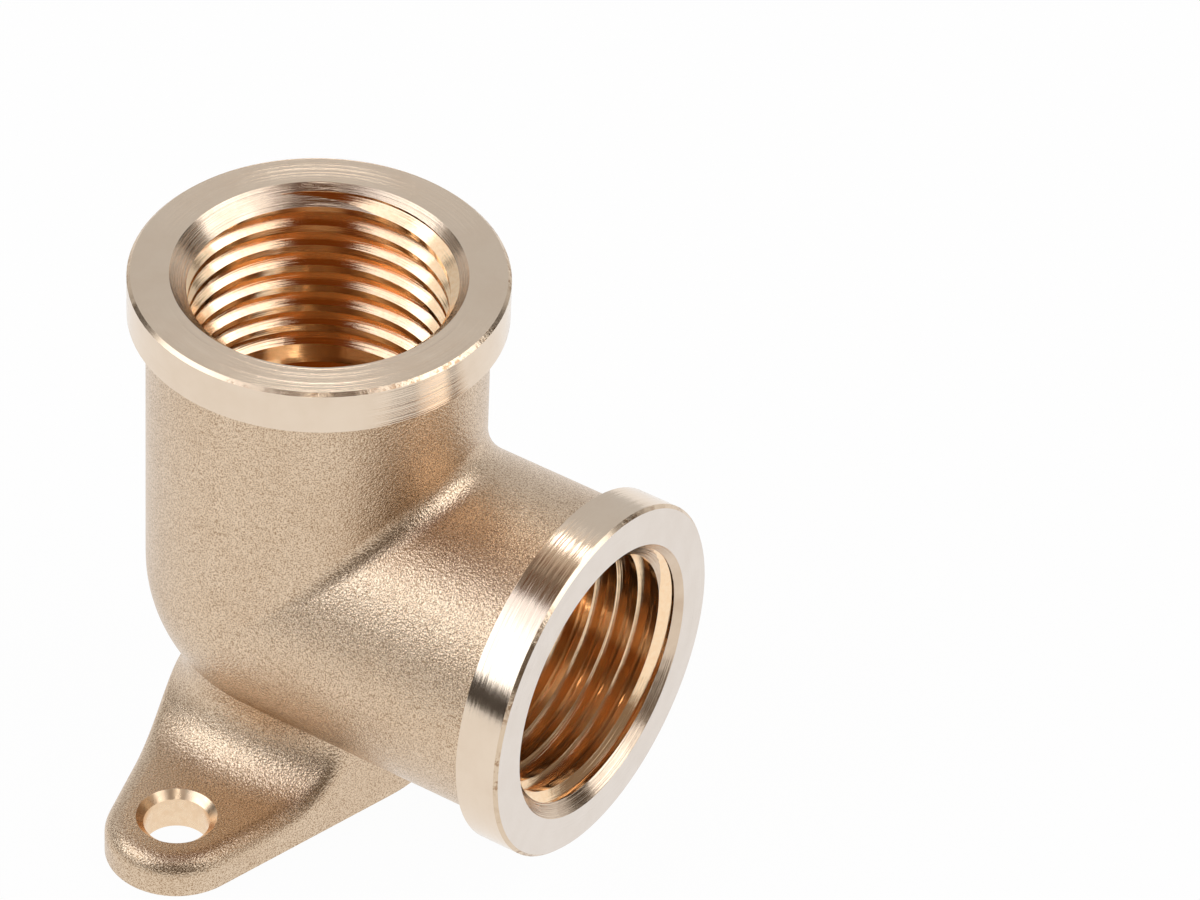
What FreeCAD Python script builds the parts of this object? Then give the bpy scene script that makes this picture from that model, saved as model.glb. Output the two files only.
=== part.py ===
# Brass wall plate elbow: a cast right-angle bend on a two-eared wall plate, with two tapped G 1/2 ports.
# Frame: the origin is on the plate's flat back, on the outlet axis. The outlet port points along +Z,
# away from the wall, the inlet port along +X, and the two ears lie along Y. Millimetres and degrees.
import FreeCAD
import Part
import math
import os

# Cast bend
OUTLET_HEIGHT = 42.0          # plate back to outlet face
INLET_REACH = 25.0            # outlet axis to inlet face
INLET_AXIS_HEIGHT = 16.5      # plate back to inlet axis
BARREL_DIAMETER = 24.5        # outside of both ports
CROTCH_FILLET = 2.0           # inside of the bend, where the barrels meet

# Turned ports
COLLAR_RISE = 1.35            # step from the barrel up to the collar round each mouth
COLLAR_WIDTH = 3.4
COLLAR_EDGE = 0.25            # broken edge round the collar's face
THREAD_MINOR = 18.631         # crest diameter of a G 1/2 inside thread, bored plain here
THREAD_DEPTH = 15.5           # face to the end of the full bore
MOUTH_DIAMETER = 21.2         # chamfer at the face, a little over the thread's root
MOUTH_ANGLE = 90.0
DRILL_ANGLE = 118.0           # cone between the thread and the passage
PASSAGE_DIAMETER = 15.2       # water way round the bend

# Wall plate
PLATE_WIDTH = 19.7            # across the bowed sides
PLATE_SIDE_RADIUS = 12.0      # of those sides, seen from above
EAR_THICKNESS = 3.1
EAR_TIP_RADIUS = 5.2
EAR_ROUND = 1.6               # rounded upper edge of the ears
HOLE_SPACING = 34.2           # between the two screw holes
HOLE_DIAMETER = 4.8
HOLE_CHAMFER = 0.55

# Neck between the plate and the bend
NECK_DEPTH = 18.0             # across its bowed walls, along Y
NECK_BOW = 20.0               # radius of those walls, seen from above
NECK_BACK = 8.3               # outlet axis to its back, behind the bend's heel
NECK_CORNER = 6.5             # radius of its two back corners
NECK_FOOT = 4.5               # hollow fillet from the neck down to the ears

ON_SURFACE = 0.001            # how near an edge lies to the surface it is on

X_AXIS = FreeCAD.Vector(1, 0, 0)
Y_AXIS = FreeCAD.Vector(0, 1, 0)
Z_AXIS = FreeCAD.Vector(0, 0, 1)
ORIGIN = FreeCAD.Vector(0, 0, 0)
BEND_CENTRE = Z_AXIS * INLET_AXIS_HEIGHT
BARREL_RADIUS = BARREL_DIAMETER / 2


def line(start, end):
    return Part.LineSegment(start, end).toShape()


def turned(points):
    """Solid of revolution about Z from (radius, height) corners."""
    corners = [FreeCAD.Vector(radius, 0, height) for radius, height in points]
    return Part.Face(Part.makePolygon(corners + corners[:1])).revolve(ORIGIN, Z_AXIS, 360)


def has_curve(edge):
    """A ball's pole is an edge with no curve."""
    return not edge.Degenerated


def bend():
    """Two barrels that meet at a right angle round a ball heel, with a filleted crotch."""
    outlet = Part.makeCylinder(BARREL_RADIUS, OUTLET_HEIGHT - INLET_AXIS_HEIGHT, BEND_CENTRE, Z_AXIS)
    inlet = Part.makeCylinder(BARREL_RADIUS, INLET_REACH, BEND_CENTRE, X_AXIS)
    heel = Part.makeSphere(BARREL_RADIUS, BEND_CENTRE, Y_AXIS)
    sharp = outlet.fuse([inlet, heel]).removeSplitter().Solids[0]
    crotch = [edge for edge in sharp.Edges if has_curve(edge) and isinstance(edge.Curve, Part.Ellipse)]
    return sharp.makeFillet(CROTCH_FILLET, crotch)


def plate_outline():
    """Round tips and bowed sides joined by straight flanks, all tangent, in the XY plane."""
    tip_centre = Y_AXIS * (HOLE_SPACING / 2)
    side_centre = X_AXIS * (PLATE_WIDTH / 2 - PLATE_SIDE_RADIUS)
    between = tip_centre - side_centre
    lean = math.acos((PLATE_SIDE_RADIUS - EAR_TIP_RADIUS) / between.Length)
    facing = math.atan2(between.y, between.x) - lean
    outwards = FreeCAD.Vector(math.cos(facing), math.sin(facing), 0)
    flank_start = side_centre + outwards * PLATE_SIDE_RADIUS
    flank_end = tip_centre + outwards * EAR_TIP_RADIUS
    side = X_AXIS * (PLATE_WIDTH / 2)
    tip = tip_centre + Y_AXIS * EAR_TIP_RADIUS

    def at(point, x_sign, y_sign):
        return FreeCAD.Vector(x_sign * point.x, y_sign * point.y, 0)

    edges = []
    for sign in (1, -1):
        edges.append(Part.Arc(at(flank_start, sign, -1), side * sign, at(flank_start, sign, 1)).toShape())
        edges.append(Part.Arc(at(flank_end, 1, sign), tip * sign, at(flank_end, -1, sign)).toShape())
        for y_sign in (1, -1):
            edges.append(line(at(flank_start, sign, y_sign), at(flank_end, sign, y_sign)))
    return Part.Wire(Part.__sortEdges__(edges))


def neck_outline():
    """Two bowed walls, closed square at both ends, in the XY plane."""
    half = NECK_DEPTH / 2
    front = PLATE_WIDTH / 2 + EAR_ROUND

    def bowed(x):
        return half - NECK_BOW + math.sqrt(NECK_BOW ** 2 - x ** 2)

    corners = [FreeCAD.Vector(x, sign * bowed(x), 0) for x, sign in
               ((-NECK_BACK, -1), (front, -1), (front, 1), (-NECK_BACK, 1))]
    return Part.Wire([
        Part.Arc(corners[0], Y_AXIS * -half, corners[1]).toShape(),
        line(corners[1], corners[2]),
        Part.Arc(corners[2], Y_AXIS * half, corners[3]).toShape(),
        line(corners[3], corners[0]),
    ])


def wall_plate():
    """Flat plate and neck, with a hollow fillet round the neck's foot, trimmed to the plate's outline."""
    neck = Part.Face(neck_outline()).extrude(BEND_CENTRE)
    neck = neck.makeFillet(NECK_CORNER, [edge for edge in neck.Edges if stands_beyond(edge, -NECK_BACK)])
    neck = neck.makeFillet(EAR_ROUND, [edge for edge in neck.Edges if stands_beyond(edge, PLATE_WIDTH / 2)])
    slab_side = 2 * (HOLE_SPACING + EAR_TIP_RADIUS)
    slab = Part.makeBox(slab_side, slab_side, EAR_THICKNESS)
    slab.translate(FreeCAD.Vector(-slab_side / 2, -slab_side / 2, 0))
    block = slab.fuse(neck).removeSplitter().Solids[0]
    foot = [edge for edge in block.Edges if is_level(edge, EAR_THICKNESS) and is_within(edge, neck.BoundBox)]
    block = block.makeFillet(NECK_FOOT, foot)
    plate = block.common(Part.Face(plate_outline()).extrude(BEND_CENTRE)).removeSplitter().Solids[0]
    return plate.makeFillet(EAR_ROUND, [edge for edge in plate.Edges if is_ear_edge(edge)])


def stands_beyond(edge, x):
    """An upright edge at x or farther out on that side."""
    upright = edge.BoundBox.ZLength > INLET_AXIS_HEIGHT - ON_SURFACE
    return upright and math.copysign(1, x) * edge.CenterOfMass.x > abs(x) - ON_SURFACE


def is_level(edge, height):
    box = edge.BoundBox
    return abs(box.ZMin - height) < ON_SURFACE and abs(box.ZMax - height) < ON_SURFACE


def is_within(edge, box):
    return edge.BoundBox.XMax < box.XMax + ON_SURFACE and edge.BoundBox.YLength < box.YLength + ON_SURFACE


def is_ear_edge(edge):
    """An upper edge of the plate's wall, and its run up the neck's corner."""
    if edge.BoundBox.ZMin < EAR_THICKNESS - ON_SURFACE or is_level(edge, INLET_AXIS_HEIGHT):
        return False
    outline = plate_outline()
    for point in edge.discretize(5):
        if outline.distToShape(Part.Vertex(point.x, point.y, 0))[0] > ON_SURFACE:
            return False
    return True


def to_inlet(shape):
    """Turns a port made along +Z round the bend's centre to point along +X."""
    shape.rotate(BEND_CENTRE, Y_AXIS, 90)
    return shape


def collar(face):
    """Turned ring round a port's mouth, its face at the given distance from the bend's centre."""
    top = INLET_AXIS_HEIGHT + face
    radius = BARREL_RADIUS + COLLAR_RISE
    return turned([(0, top - COLLAR_WIDTH), (radius, top - COLLAR_WIDTH), (radius, top - COLLAR_EDGE),
                   (radius - COLLAR_EDGE, top), (0, top)])


def bore(face):
    """Mouth chamfer, tapping bore, drill cone and passage, with the drill's point past the bend's centre."""
    top = INLET_AXIS_HEIGHT + face
    mouth, thread, passage = MOUTH_DIAMETER / 2, THREAD_MINOR / 2, PASSAGE_DIAMETER / 2
    mouth_depth = (mouth - thread) / math.tan(math.radians(MOUTH_ANGLE / 2))
    point_slope = math.tan(math.radians(DRILL_ANGLE / 2))
    cone_depth = (thread - passage) / point_slope
    return turned([(0, top), (mouth, top), (thread, top - mouth_depth), (thread, top - THREAD_DEPTH),
                   (passage, top - THREAD_DEPTH - cone_depth), (passage, INLET_AXIS_HEIGHT),
                   (0, INLET_AXIS_HEIGHT - passage / point_slope)])


def screw_hole(y):
    """Plain hole through an ear, with a chamfer at its upper edge."""
    radius = HOLE_DIAMETER / 2
    hole = turned([(0, 0), (radius, 0), (radius, EAR_THICKNESS - HOLE_CHAMFER),
                   (radius + HOLE_CHAMFER, EAR_THICKNESS), (0, EAR_THICKNESS)])
    hole.translate(Y_AXIS * y)
    return hole


def elbow_body():
    outlet_face = OUTLET_HEIGHT - INLET_AXIS_HEIGHT
    casting = bend().fuse(wall_plate()).removeSplitter().Solids[0]
    blank = casting.fuse([collar(outlet_face), to_inlet(collar(INLET_REACH))])
    water_way = [bore(outlet_face), to_inlet(bore(INLET_REACH))]
    holes = [screw_hole(sign * HOLE_SPACING / 2) for sign in (1, -1)]
    return blank.cut(water_way + holes).removeSplitter().Solids[0]


os.makedirs("parts", exist_ok=True)
body = elbow_body()
print("elbow_body valid", body.isValid(), "volume", round(body.Volume, 1), "faces", len(body.Faces))
body.exportStep("parts/elbow_body.step")
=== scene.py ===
# Looks of the brass wall plate elbow: the cast body with threads cut into both ports, its blasted, turned,
# tapped, worn and drilled finishes, a pale floor, soft studio light and the camera.
import bpy
import math
from mathutils import Matrix, Vector


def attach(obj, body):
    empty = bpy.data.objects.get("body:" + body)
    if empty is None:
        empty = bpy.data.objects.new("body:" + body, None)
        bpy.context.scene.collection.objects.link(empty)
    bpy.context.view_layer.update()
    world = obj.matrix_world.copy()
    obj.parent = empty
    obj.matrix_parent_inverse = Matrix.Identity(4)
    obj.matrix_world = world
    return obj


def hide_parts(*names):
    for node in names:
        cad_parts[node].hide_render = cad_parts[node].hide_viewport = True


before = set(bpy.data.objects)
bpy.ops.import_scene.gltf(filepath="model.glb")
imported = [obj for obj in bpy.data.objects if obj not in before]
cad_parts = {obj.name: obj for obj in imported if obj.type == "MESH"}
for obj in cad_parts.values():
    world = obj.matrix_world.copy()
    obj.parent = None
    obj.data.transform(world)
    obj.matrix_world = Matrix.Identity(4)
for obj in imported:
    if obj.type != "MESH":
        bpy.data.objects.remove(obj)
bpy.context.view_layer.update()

MM = 0.001

# Sizes of the body that the threads and finishes follow, in millimetres
OUTLET_FACE = 42.0
INLET_FACE = 25.0
INLET_AXIS_HEIGHT = 16.5
BARREL_RADIUS = 12.25
COLLAR_WIDTH = 3.4
HOLE_FROM_AXIS = 17.1
HOLE_MOUTH = 2.95
EAR_THICKNESS = 3.1

# Limits that part the inside of the ports and the passage from the outside, in millimetres
INSIDE_RADIUS = 11.25
MOUTH_DEPTH = 1.3
BORE_END = 16.9
PASSAGE_RADIUS = 7.7
PASSAGE_FLOOR = 8.5
PASSAGE_BACK = -8.0

# Groove of the thread in each port, at the pitch and crest of G 1/2, in millimetres and degrees
PITCH = 1.814
CREST_RADIUS = 9.3155
ROOT_RADIUS = 10.11
GROOVE_FLOOR = 0.20
FLANK_ANGLE = 36.0
GROOVE_START = 13.80
GROOVE_TURNS = 7.6
STEPS_PER_TURN = 80
TOOL_OVERLAP = 0.16

# How near a face lies to the surface it counts to, in millimetres
FACE_SLACK = 0.01
WALL_SLACK = 0.1
MERGE_DISTANCE = 0.001

# Share of a face's normal along the port's axis, on a chamfer and on a wall
CHAMFER_LEAN = math.sqrt(0.5)
CHAMFER_LEAN_SLACK = 0.02
WALL_LEAN_SLACK = 0.05

# Edges that turn less than this are shaded smooth, in degrees
SMOOTH_ANGLE = 19.0

# Lines that cutting tools leave: their number to a millimetre, lean along the axis, and depths in millimetres
LINES_PER_MM = 6.0
LINE_LEAN = 0.6
LATHE_LINE_DEPTH = 0.020
MOUTH_LINE_DEPTH = 0.03
TAP_LINE_DEPTH = 0.008

# Camera and the point that the studio is set up round, in metres
CAMERA_PLACE = Vector((0.26502, -0.38740, 0.41192))
ELBOW_MIDDLE = Vector((0.005, 0, 0.02))

# Studio: watts to a square metre that make a lamp as bright as a white sheet, then the floor and surroundings
LAMP_POWER = 4.0
FLOOR_SIZE = 6.0
FLOOR_COLOUR = (0.92, 0.92, 0.92, 1)
FLOOR_GLOW = 0.97
WORLD_FILL = 0.9
WHITE = (1, 1, 1, 1)


class Value:
    """A shader socket that arithmetic works on: each operation adds one Math node."""

    def __init__(self, finish, socket):
        self.finish = finish
        self.socket = socket

    def __add__(self, other):
        return self.finish.maths("ADD", self, other)

    def __sub__(self, other):
        return self.finish.maths("SUBTRACT", self, other)

    def __rsub__(self, other):
        return self.finish.maths("SUBTRACT", other, self)

    def __mul__(self, other):
        return self.finish.maths("MULTIPLY", self, other)

    def __truediv__(self, other):
        return self.finish.maths("DIVIDE", self, other)

    def __rtruediv__(self, other):
        return self.finish.maths("DIVIDE", other, self)

    __radd__ = __add__
    __rmul__ = __mul__


class Finish:
    """The node tree of a material or of the world, built from Python expressions."""

    def __init__(self, owner):
        owner.use_nodes = True
        self.tree = owner.node_tree
        self.tree.nodes.clear()

    def node(self, kind, settings, inputs):
        """Adds a node, sets its settings, then its sockets, and gives its outputs by name."""
        added = self.tree.nodes.new(kind)
        for name, setting in settings.items():
            setattr(added, name, setting)
        for name, value in inputs.items():
            socket = added.inputs[name]
            if isinstance(value, Value):
                self.tree.links.new(value.socket, socket)
            else:
                socket.default_value = value
        return {output.name: Value(self, output) for output in added.outputs if output.enabled}

    def maths(self, operation, *operands):
        """Adds a Math node on numbers and sockets."""
        return self.node("ShaderNodeMath", {"operation": operation}, dict(enumerate(operands)))["Value"]

    def place(self):
        """The surface point in the object's own metres."""
        return self.node("ShaderNodeTexCoord", {}, {})["Object"]

    def axes(self):
        """The surface point's coordinates by letter."""
        return self.node("ShaderNodeSeparateXYZ", {}, {"Vector": self.place()})

    def noise(self, size_mm, detail=2.0, roughness=0.5):
        """Even noise whose lumps are about this many millimetres across, from 0 to 1."""
        inputs = {"Vector": self.place(), "Scale": 1.0 / (size_mm * MM)}
        inputs.update({"Detail": detail, "Roughness": roughness})
        return self.node("ShaderNodeTexNoise", {}, inputs)["Fac"]

    def cells(self, size_mm):
        """Distance from the middle of each of many cells of about this many millimetres."""
        inputs = {"Vector": self.place(), "Scale": 1.0 / (size_mm * MM)}
        return self.node("ShaderNodeTexVoronoi", {}, inputs)["Distance"]

    def ramp(self, value, low, high):
        """0 at low, 1 at high, smooth between them."""
        inputs = {"Value": value, "From Min": low, "From Max": high}
        return self.node("ShaderNodeMapRange", {"interpolation_type": "SMOOTHSTEP"}, inputs)["Result"]

    def between(self, value, low, high):
        """Goes from low to high as the value goes from 0 to 1."""
        return low + (high - low) * value

    def blend(self, factor, first, second):
        """Mixes two colours, each a colour or a socket."""
        inputs = {0: factor, 6: first, 7: second}
        return self.node("ShaderNodeMix", {"data_type": "RGBA"}, inputs)["Result"]

    def bump(self, height, strength, depth_mm):
        """Normal of a surface that rises by this many millimetres where the height is 1."""
        inputs = {"Height": height, "Strength": strength, "Distance": depth_mm * MM}
        return self.node("ShaderNodeBump", {}, inputs)["Normal"]

    def emission(self, colour):
        """Light of this colour, at the strength at which white is white."""
        return self.node("ShaderNodeEmission", {}, {"Color": colour, "Strength": 1.0})["Emission"]

    def metal(self, colour, roughness, normal):
        """Ends the tree in one metal surface."""
        inputs = {"Base Color": colour, "Metallic": 1.0, "Roughness": roughness, "Normal": normal}
        self.show(self.node("ShaderNodeBsdfPrincipled", {}, inputs)["BSDF"])

    def show(self, shader):
        """Ends the tree of a material in this shader."""
        self.node("ShaderNodeOutputMaterial", {}, {"Surface": shader})


def new_finish(name):
    material = bpy.data.materials.new(name)
    return material, Finish(material)


def blasted_brass():
    """Cast skin after shot blasting: small dimples side by side that sparkle, with faint darker clouds."""
    pale, deep, pit = (0.79, 0.625, 0.46, 1), (0.75, 0.58, 0.415, 1), (0.38, 0.245, 0.14, 1)
    material, finish = new_finish("blasted_brass")
    dimples = finish.cells(size_mm=0.18)
    grain = finish.noise(size_mm=0.10, detail=2.0, roughness=0.6)
    clouds = finish.noise(size_mm=6.0, detail=3.0, roughness=0.6)
    skin = finish.blend(finish.ramp(clouds, low=0.3, high=0.75), pale, deep)
    tone = finish.blend(finish.ramp(grain, low=0.56, high=0.34), skin, pit)
    normal = finish.bump(dimples + 1.2 * grain, strength=1.0, depth_mm=0.027)
    finish.metal(tone, roughness=0.27, normal=normal)
    return material


def tool_lines(finish, along, across):
    """Fine lines that a cutting tool leaves round a port's axis, from 0 to 1."""
    place = finish.axes()
    first, second = (place[letter] - shift for letter, shift in across)
    radius = finish.maths("SQRT", first * first + second * second)
    feed = (radius + LINE_LEAN * place[along]) / MM
    inputs = {"W": feed, "Scale": LINES_PER_MM, "Detail": 3.0, "Roughness": 0.7}
    return finish.node("ShaderNodeTexNoise", {"noise_dimensions": "1D"}, inputs)["Fac"]


def turned_brass(name, along, across, pale, deep, line_depth):
    """Bright turned metal with fine lathe lines round a port's axis."""
    material, finish = new_finish(name)
    lines = tool_lines(finish, along, across)
    smears = finish.noise(size_mm=2.5, detail=3.0, roughness=0.6)
    tone = finish.blend(finish.ramp(smears, low=0.3, high=0.8), pale, deep)
    normal = finish.bump(lines, strength=1.0, depth_mm=line_depth)
    finish.metal(tone, roughness=finish.between(smears, low=0.12, high=0.18), normal=normal)
    return material


def tapped_brass(name, along, across):
    """Freshly cut thread: bright and yellow, with the tap's lines along the flanks and a few tears."""
    pale, deep = (0.97, 0.73, 0.49, 1), (0.95, 0.67, 0.42, 1)
    material, finish = new_finish(name)
    lines = tool_lines(finish, along, across)
    tears = finish.noise(size_mm=0.35, detail=3.0, roughness=0.65)
    tone = finish.blend(finish.ramp(tears, low=0.3, high=0.75), pale, deep)
    normal = finish.bump(lines + 0.3 * tears, strength=1.0, depth_mm=TAP_LINE_DEPTH)
    finish.metal(tone, roughness=finish.between(tears, low=0.07, high=0.14), normal=normal)
    return material


def worn_brass():
    """Chamfered edges of the collars: knocked in a few stretches, with brown in the nicks."""
    bright, brown = (0.72, 0.57, 0.42, 1), (0.42, 0.27, 0.16, 1)
    material, finish = new_finish("worn_brass")
    nicks = finish.noise(size_mm=0.5, detail=4.0, roughness=0.7)
    knocked = finish.ramp(finish.noise(size_mm=4.0), low=0.42, high=0.58)
    dirt = finish.ramp(nicks, low=0.54, high=0.40) * knocked
    normal = finish.bump(nicks * knocked, strength=0.7, depth_mm=0.06)
    tone = finish.blend(dirt, bright, brown)
    finish.metal(tone, roughness=finish.between(nicks, low=0.20, high=0.30), normal=normal)
    return material


def drilled_brass():
    """Drilled passages and holes: pale, with a soft gloss."""
    pale, deep = (0.90, 0.69, 0.48, 1), (0.85, 0.62, 0.41, 1)
    material, finish = new_finish("drilled_brass")
    chatter = finish.noise(size_mm=0.5, detail=3.0, roughness=0.6)
    tone = finish.blend(finish.ramp(chatter, low=0.3, high=0.75), pale, deep)
    normal = finish.bump(chatter, strength=0.15, depth_mm=0.015)
    finish.metal(tone, roughness=finish.between(chatter, low=0.22, high=0.34), normal=normal)
    return material


def elbow_finishes():
    """All finishes of the body, by the names that finish_at gives."""
    outlet = "Z", (("X", 0.0), ("Y", 0.0))
    inlet = "X", (("Y", 0.0), ("Z", INLET_AXIS_HEIGHT * MM))
    collar_tones = (0.79, 0.655, 0.52, 1), (0.76, 0.62, 0.485, 1)
    face_tones = (0.76, 0.685, 0.62, 1), (0.73, 0.65, 0.58, 1)
    # The port mouths' chamfers use the turned brass made darker all over. This is painted shade for the dark
    # they show at the mouth of each bore. Their lathe lines and random smears are the metal's own.
    mouth_painted_shade_tones = (0.70, 0.56, 0.43, 1), (0.60, 0.46, 0.34, 1)
    return {
        "blasted": blasted_brass(),
        "outlet_turned": turned_brass("outlet_turned_brass", *outlet, *collar_tones, LATHE_LINE_DEPTH),
        "inlet_turned": turned_brass("inlet_turned_brass", *inlet, *collar_tones, LATHE_LINE_DEPTH),
        "inlet_faced": turned_brass("inlet_faced_brass", *inlet, *face_tones, LATHE_LINE_DEPTH),
        "outlet_mouth": turned_brass("outlet_mouth_brass_painted_shade", *outlet, *mouth_painted_shade_tones, MOUTH_LINE_DEPTH),
        "inlet_mouth": turned_brass("inlet_mouth_brass_painted_shade", *inlet, *mouth_painted_shade_tones, MOUTH_LINE_DEPTH),
        "outlet_tapped": tapped_brass("outlet_tapped_brass", *outlet),
        "inlet_tapped": tapped_brass("inlet_tapped_brass", *inlet),
        "worn": worn_brass(),
        "drilled": drilled_brass(),
    }


def select_only(piece):
    bpy.ops.object.select_all(action="DESELECT")
    piece.select_set(True)
    bpy.context.view_layer.objects.active = piece


def merge_close(piece):
    """Merges the vertices that lie in one place."""
    select_only(piece)
    bpy.ops.object.mode_set(mode="EDIT")
    bpy.ops.mesh.select_all(action="SELECT")
    bpy.ops.mesh.remove_doubles(threshold=MERGE_DISTANCE * MM)
    bpy.ops.object.mode_set(mode="OBJECT")


def cast_body():
    """Copy of the CAD body, its loose triangles merged into one closed mesh."""
    body = bpy.data.objects.new("elbow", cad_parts["elbow_body"].data.copy())
    bpy.context.scene.collection.objects.link(body)
    select_only(body)
    bpy.ops.mesh.customdata_custom_splitnormals_clear()
    merge_close(body)
    return body


def groove_width(radius):
    """Width of the thread's groove at a radius, in millimetres."""
    return GROOVE_FLOOR + 2 * (ROOT_RADIUS - radius) * math.tan(math.radians(FLANK_ANGLE))


def thread_tool(name):
    """Helical ridge that fills the thread's groove, right-handed along +Z, with the port's face at z = 0."""
    inner = CREST_RADIUS - TOOL_OVERLAP
    middle = (ROOT_RADIUS + inner) / 2
    bpy.ops.object.select_all(action="DESELECT")
    bpy.ops.mesh.primitive_plane_add(size=1, rotation=(math.pi / 2, 0, 0))
    tool = bpy.context.object
    tool.name = name
    bpy.ops.object.transform_apply(rotation=True)
    bpy.ops.object.mode_set(mode="EDIT")
    bpy.ops.mesh.select_all(action="SELECT")
    bpy.ops.transform.resize(value=((ROOT_RADIUS - inner) * MM, 1, groove_width(inner) * MM),
                             center_override=(0, 0, 0))
    bpy.ops.transform.translate(value=(middle * MM, 0, -GROOVE_START * MM))
    bpy.ops.mesh.delete(type="ONLY_FACE")
    bpy.ops.object.mode_set(mode="OBJECT")
    for vertex in tool.data.vertices:
        vertex.select = vertex.co.x > middle * MM
    bpy.ops.object.mode_set(mode="EDIT")
    bpy.ops.transform.resize(value=(1, 1, groove_width(ROOT_RADIUS) / groove_width(inner)),
                             center_override=(ROOT_RADIUS * MM, 0, -GROOVE_START * MM))
    bpy.ops.object.mode_set(mode="OBJECT")
    bpy.ops.object.modifier_add(type="SCREW")
    helix = tool.modifiers[-1]
    helix.axis = "Z"
    helix.angle = 2 * math.pi * GROOVE_TURNS
    helix.screw_offset = PITCH * GROOVE_TURNS * MM
    helix.steps = helix.render_steps = round(STEPS_PER_TURN * GROOVE_TURNS)
    bpy.ops.object.modifier_apply(modifier=helix.name)
    merge_close(tool)
    bpy.ops.object.mode_set(mode="EDIT")
    bpy.ops.mesh.select_all(action="SELECT")
    bpy.ops.mesh.fill_holes(sides=0)
    bpy.ops.mesh.normals_make_consistent(inside=False)
    bpy.ops.object.mode_set(mode="OBJECT")
    return tool


def cut_thread(body, port):
    """Cuts the groove into the port whose face has this matrix."""
    tool = thread_tool("thread_tool")
    tool.matrix_world = port
    select_only(tool)
    bpy.ops.object.transform_apply(location=True, rotation=True, scale=True)
    select_only(body)
    bpy.ops.object.modifier_add(type="BOOLEAN")
    groove = body.modifiers[-1]
    groove.operation = "DIFFERENCE"
    groove.solver = "EXACT"
    groove.object = tool
    bpy.ops.object.modifier_apply(modifier=groove.name)
    bpy.data.objects.remove(tool)
    merge_close(body)


def finish_at(centre, normal):
    """Name of the finish that a face has, from its centre in millimetres and its normal."""
    x, y, z = centre
    ports = (("outlet", math.hypot(x, y), OUTLET_FACE - z, normal.z),
             ("inlet", math.hypot(y, z - INLET_AXIS_HEIGHT), INLET_FACE - x, normal.x))
    for port, radius, depth, outwards in ports:
        on_chamfer = abs(outwards - CHAMFER_LEAN) < CHAMFER_LEAN_SLACK
        if depth < FACE_SLACK:
            return "inlet_faced" if port == "inlet" else "outlet_turned"
        if depth < BORE_END and radius < INSIDE_RADIUS:
            return port + ("_mouth" if on_chamfer and depth < MOUTH_DEPTH else "_tapped")
        if depth < COLLAR_WIDTH + FACE_SLACK and radius > BARREL_RADIUS + FACE_SLACK:
            return "worn" if on_chamfer else port + "_turned"
    in_passage = min(radius for _, radius, _, _ in ports) < PASSAGE_RADIUS
    if in_passage and z > PASSAGE_FLOOR and x > PASSAGE_BACK:
        return "drilled"
    from_hole = math.hypot(x, abs(y) - HOLE_FROM_AXIS)
    if from_hole < HOLE_MOUTH and FACE_SLACK < z < EAR_THICKNESS - FACE_SLACK:
        return "drilled"
    return "blasted"


def shade_smooth(body, bores):
    """Smooth shading that keeps flat faces flat, except in the bores, a vertex group."""
    select_only(body)
    bpy.ops.object.shade_smooth_by_angle(angle=math.radians(SMOOTH_ANGLE))
    bpy.ops.object.modifier_add(type="WEIGHTED_NORMAL")
    weighting = body.modifiers[-1]
    weighting.keep_sharp = True
    weighting.vertex_group = bores.name
    weighting.invert_vertex_group = True
    bpy.ops.object.modifier_apply(modifier=weighting.name)


def round_walls(body):
    """Gives the walls in both ports, the thread's crests and roots, the normals of true cylinders."""
    mesh = body.data
    normals = [corner.vector.copy() for corner in mesh.corner_normals]
    ports = ((Vector((0, 0, OUTLET_FACE * MM)), Vector((0, 0, 1))),
             (Vector((INLET_FACE * MM, 0, INLET_AXIS_HEIGHT * MM)), Vector((1, 0, 0))))
    for face in mesh.polygons:
        for mouth, axis in ports:
            depth = (mouth - face.center).dot(axis) / MM
            radius = (face.center - mouth).cross(axis).length / MM
            in_bore = depth < BORE_END and CREST_RADIUS - WALL_SLACK < radius < ROOT_RADIUS + WALL_SLACK
            if in_bore and abs(face.normal.dot(axis)) < WALL_LEAN_SLACK:
                for corner in face.loop_indices:
                    spot = mesh.vertices[mesh.loops[corner].vertex_index].co - mouth
                    normals[corner] = (axis * spot.dot(axis) - spot).normalized()
    mesh.normals_split_custom_set(normals)


def dress_body():
    """The finished body: threads, finishes and smooth shading."""
    body = cast_body()
    cut_thread(body, Matrix.Translation((0, 0, OUTLET_FACE * MM)))
    cut_thread(body, Matrix.Translation((INLET_FACE * MM, 0, INLET_AXIS_HEIGHT * MM))
               @ Matrix.Rotation(math.pi / 2, 4, "Y"))
    finishes = elbow_finishes()
    body.data.materials.clear()
    for material in finishes.values():
        body.data.materials.append(material)
    order = list(finishes)
    bores = body.vertex_groups.new(name="bores")
    for face in body.data.polygons:
        name = finish_at(face.center / MM, face.normal)
        face.material_index = order.index(name)
        if name in ("outlet_tapped", "inlet_tapped", "drilled"):
            bores.add(list(face.vertices), 1.0, "REPLACE")
    shade_smooth(body, bores)
    round_walls(body)
    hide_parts("elbow_body")
    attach(body, "root")


def seen_directly(finish):
    """1 where the camera sees the background, in a reflection or through glass too, and 0 for other light."""
    path = finish.node("ShaderNodeLightPath", {}, {})
    seen = finish.maths("MAXIMUM", path["Is Camera Ray"], path["Is Glossy Ray"])
    return finish.maths("MAXIMUM", seen, path["Is Transmission Ray"])


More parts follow.
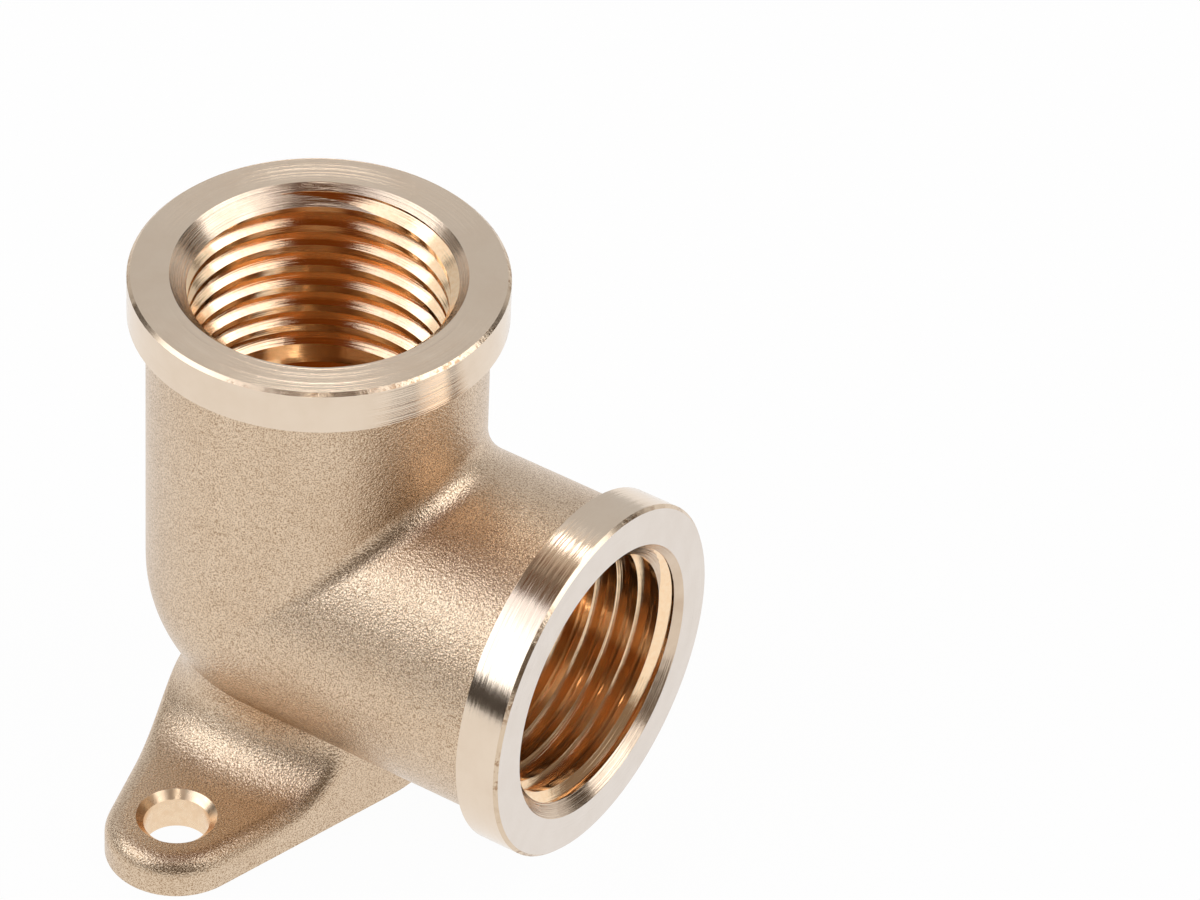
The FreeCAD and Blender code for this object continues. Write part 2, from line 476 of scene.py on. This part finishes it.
def studio_floor():
    """Plain white floor that keeps a soft shadow."""
    bpy.ops.object.select_all(action="DESELECT")
    bpy.ops.mesh.primitive_plane_add(size=FLOOR_SIZE)
    floor = bpy.context.object
    floor.name = "floor"
    material, finish = new_finish("white_floor")
    paper = finish.node("ShaderNodeBsdfDiffuse", {}, {"Color": FLOOR_COLOUR})["BSDF"]
    glow = finish.emission(WHITE)
    share = FLOOR_GLOW * seen_directly(finish)
    finish.show(finish.node("ShaderNodeMixShader", {}, {0: share, 1: paper, 2: glow})["Shader"])
    floor.data.materials.append(material)


def studio_world():
    """White surroundings, a little dimmer as a light than as a background."""
    world = bpy.data.worlds.new("studio")
    bpy.context.scene.world = world
    finish = Finish(world)
    fill = finish.node("ShaderNodeBackground", {}, {"Color": WHITE, "Strength": WORLD_FILL})["Background"]
    white = finish.node("ShaderNodeBackground", {}, {"Color": WHITE, "Strength": 1.0})["Background"]
    mixed = finish.node("ShaderNodeMixShader", {}, {0: seen_directly(finish), 1: fill, 2: white})["Shader"]
    finish.node("ShaderNodeOutputWorld", {}, {"Surface": mixed})


def around(turn, rise, reach):
    """Matrix of a sheet that faces the elbow: degrees right of the camera, degrees up and metres away."""
    heading = math.atan2(CAMERA_PLACE.y, CAMERA_PLACE.x) + math.radians(turn)
    level = reach * math.cos(math.radians(rise))
    height = reach * math.sin(math.radians(rise))
    place = Vector((level * math.cos(heading), level * math.sin(heading), height))
    return Matrix.Translation(ELBOW_MIDDLE + place) @ place.to_track_quat("Z", "Y").to_matrix().to_4x4()


def span(degrees, reach):
    """Length that takes up these degrees from this many metres away."""
    return 2 * reach * math.tan(math.radians(degrees / 2))


def softbox(name, turn, rise, wide, high, brightness, colour=(1, 1, 1), reach=0.7):
    """Area light that takes up this many degrees as seen from the elbow."""
    data = bpy.data.lights.new(name, "AREA")
    data.shape = "RECTANGLE"
    data.size = span(wide, reach)
    data.size_y = span(high, reach)
    data.energy = LAMP_POWER * brightness * data.size * data.size_y
    data.color = colour
    lamp = bpy.data.objects.new(name, data)
    bpy.context.scene.collection.objects.link(lamp)
    lamp.matrix_world = around(turn, rise, reach)
    lamp.visible_camera = False


def card(name, turn, rise, wide, high, colour, reach=0.8):
    """Sheet of card that takes up this many degrees and shows only in reflections, in this colour."""
    bpy.ops.object.select_all(action="DESELECT")
    bpy.ops.mesh.primitive_plane_add(size=1)
    sheet = bpy.context.object
    sheet.name = name
    size = Matrix.Diagonal((span(wide, reach), span(high, reach), 1, 1))
    sheet.matrix_world = around(turn, rise, reach) @ size
    material, finish = new_finish(name + "_paint")
    finish.show(finish.emission(colour))
    material.cycles.emission_sampling = "NONE"
    sheet.data.materials.append(material)
    sheet.visible_camera = False


def studio():
    """Floor, surroundings, lamps and the cards that the metal mirrors."""
    studio_floor()
    studio_world()
    softbox("left_softbox", turn=-72, rise=42, wide=52, high=50, brightness=1.05, colour=(0.93, 1.0, 1.10))
    softbox("right_softbox", turn=74, rise=43, wide=54, high=44, brightness=1.25, colour=(0.96, 1.0, 1.05))
    softbox("top_lamp", turn=180, rise=62, wide=10, high=9, brightness=4.0)
    softbox("front_lamp", turn=-3, rise=47, wide=9, high=7, brightness=4.0)
    grey, black = (0.64, 0.64, 0.64, 1), (0.05, 0.04, 0.032, 1)
    tan, dun = (0.62, 0.53, 0.44, 1), (0.22, 0.17, 0.13, 1)
    amber, brown = (0.125, 0.031, 0.003, 1), (0.10, 0.07, 0.045, 1)
    card("ceiling_card", turn=0, rise=88, wide=80, high=80, colour=amber)
    card("back_ceiling_card", turn=180, rise=68, wide=30, high=34, colour=tan, reach=0.75)
    card("left_top_card", turn=-112, rise=64, wide=22, high=16, colour=dun, reach=0.6)
    card("camera_card", turn=0, rise=28, wide=92, high=62, colour=brown)
    card("back_card", turn=180, rise=22, wide=112, high=50, colour=grey, reach=0.9)
    card("left_low_card", turn=-80, rise=5, wide=78, high=22, colour=black)
    card("right_low_card", turn=84, rise=8, wide=70, high=24, colour=dun)
    card("left_gap_card", turn=-114, rise=18, wide=22, high=22, colour=black, reach=0.6)
    card("right_gap_card", turn=114, rise=20, wide=22, high=26, colour=black, reach=0.6)


def camera():
    """Camera at the photograph's viewing angle."""
    data = bpy.data.cameras.new("camera")
    data.sensor_width = 36.0
    data.lens = 254.01
    data.clip_start = 0.05
    data.clip_end = 20.0
    taker = bpy.data.objects.new("camera", data)
    bpy.context.scene.collection.objects.link(taker)
    right = Vector((0.8336, 0.5514, 0.0338))
    up = Vector((-0.3721, 0.5150, 0.7722))
    back = Vector((0.4084, -0.6563, 0.6345))
    turn = Matrix((right, up, back)).transposed().to_4x4()
    taker.matrix_world = Matrix.Translation(CAMERA_PLACE) @ turn
    bpy.context.scene.camera = taker


dress_body()
studio()
camera()
bpy.context.scene.view_settings.view_transform = "Standard"
